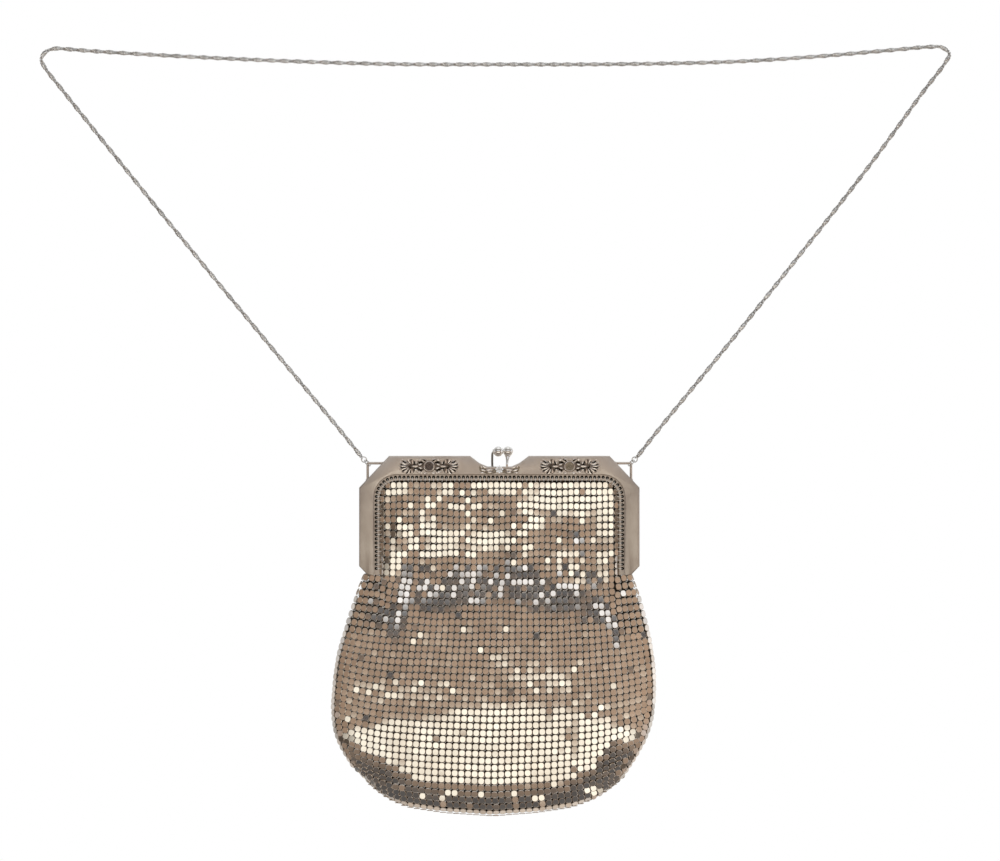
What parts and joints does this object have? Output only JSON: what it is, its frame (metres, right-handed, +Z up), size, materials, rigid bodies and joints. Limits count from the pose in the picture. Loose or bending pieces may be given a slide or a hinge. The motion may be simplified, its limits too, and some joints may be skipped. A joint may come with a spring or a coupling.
{
  "type": "metal mesh purse with chain",
  "caption": "Flat metal mesh pouch on a hinged stamped frame with a ball clasp, wire bails and a long rope chain; carries small things on the shoulder.",
  "frame": {"origin": "middle of the chain's top stretch, on the chain's centre line, where the purse hangs", "axes": "+Z up, +X to the right as seen from the front, -Y towards the front with the ornament"},
  "size_m": [0.4199, 0.019, 0.3548],
  "materials": {
    "stamped_frame": "satin grey nickel plate with a warm cast, dark in the recesses of the ornament",
    "polished_clasp": "bright polished silver plate",
    "hinge_rivet": "satin nickel plate",
    "chain_silver": "silver plate, slightly tarnished between the links",
    "mesh_silver": "bright silver plates with a warm cast and dark gaps between them"
  },
  "bodies": {
    "root": {"front_frame": "stamped_frame", "back_frame": "stamped_frame", "front_clasp": "polished_clasp", "back_clasp": "polished_clasp", "left_hinge_pin": "hinge_rivet", "right_hinge_pin": "hinge_rivet", "left_chain_ring": "chain_silver", "right_chain_ring": "chain_silver", "chain": "chain_silver", "mesh_bag": "mesh_silver"}
  },
  "joints": []
}
